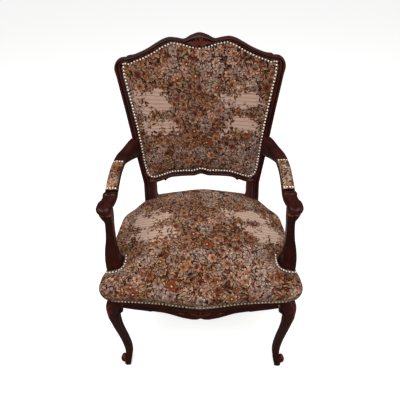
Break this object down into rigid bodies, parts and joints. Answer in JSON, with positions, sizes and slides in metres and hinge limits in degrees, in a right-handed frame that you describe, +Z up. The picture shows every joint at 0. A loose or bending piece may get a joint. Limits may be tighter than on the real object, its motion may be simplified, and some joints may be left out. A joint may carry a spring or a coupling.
{
  "type": "open armchair",
  "caption": "Carved show-wood armchair with a domed stuffed seat, padded arms and a flowered tapestry cover held by a row of dome nails.",
  "frame": {"origin": "centre of the chair's bounding box, on the floor", "axes": "+Z up, the chair faces -Y, +X to the right of someone who looks at its front; left and right in node names are theirs too"},
  "size_m": [0.6174, 0.6661, 0.9889],
  "materials": {
    "polished_mahogany": "satin lacquer",
    "plain_beech": "unfinished",
    "tapestry": "woven, matt",
    "jute_webbing": "coarse woven",
    "hessian": "open plain weave",
    "stuffing": "hair and wadding",
    "steel": "drawn wire"
  },
  "bodies": {
    "root": {"rear_rail": "polished_mahogany", "front_leg_left": "polished_mahogany", "front_leg_right": "polished_mahogany", "rear_post_left": "polished_mahogany", "rear_post_right": "polished_mahogany", "front_rail": "polished_mahogany", "side_rail_left": "polished_mahogany", "side_rail_right": "polished_mahogany", "crest_rail": "polished_mahogany", "back_lower_rail": "polished_mahogany", "arm_left": "polished_mahogany", "arm_right": "polished_mahogany", "arm_support_left": "polished_mahogany", "arm_support_right": "polished_mahogany", "corner_block_front_left": "plain_beech", "corner_block_front_right": "plain_beech", "corner_block_rear_left": "plain_beech", "corner_block_rear_right": "plain_beech", "seat_cover": "tapestry", "back_front_cover": "tapestry", "back_rear_cover": "tapestry", "arm_pad_cover_left": "tapestry", "arm_pad_cover_right": "tapestry", "seat_web_long_1": "jute_webbing", "seat_web_long_2": "jute_webbing", "seat_web_long_3": "jute_webbing", "seat_web_long_4": "jute_webbing", "seat_web_cross_1": "jute_webbing", "seat_web_cross_2": "jute_webbing", "seat_web_cross_3": "jute_webbing", "seat_web_cross_4": "jute_webbing", "spring_hessian": "hessian", "back_canvas": "hessian", "seat_stuffing": "stuffing", "back_stuffing": "stuffing", "arm_pad_left": "stuffing", "arm_pad_right": "stuffing", "seat_spring_middle": "steel", "seat_spring_front_right": "steel", "seat_spring_front_left": "steel", "seat_spring_rear_right": "steel", "seat_spring_rear_left": "steel", "block_screw_front_left_1": "steel", "block_screw_front_left_2": "steel", "block_screw_front_right_1": "steel", "block_screw_front_right_2": "steel", "block_screw_rear_left_1": "steel", "block_screw_rear_left_2": "steel", "block_screw_rear_right_1": "steel", "block_screw_rear_right_2": "steel"}
  },
  "joints": []
}
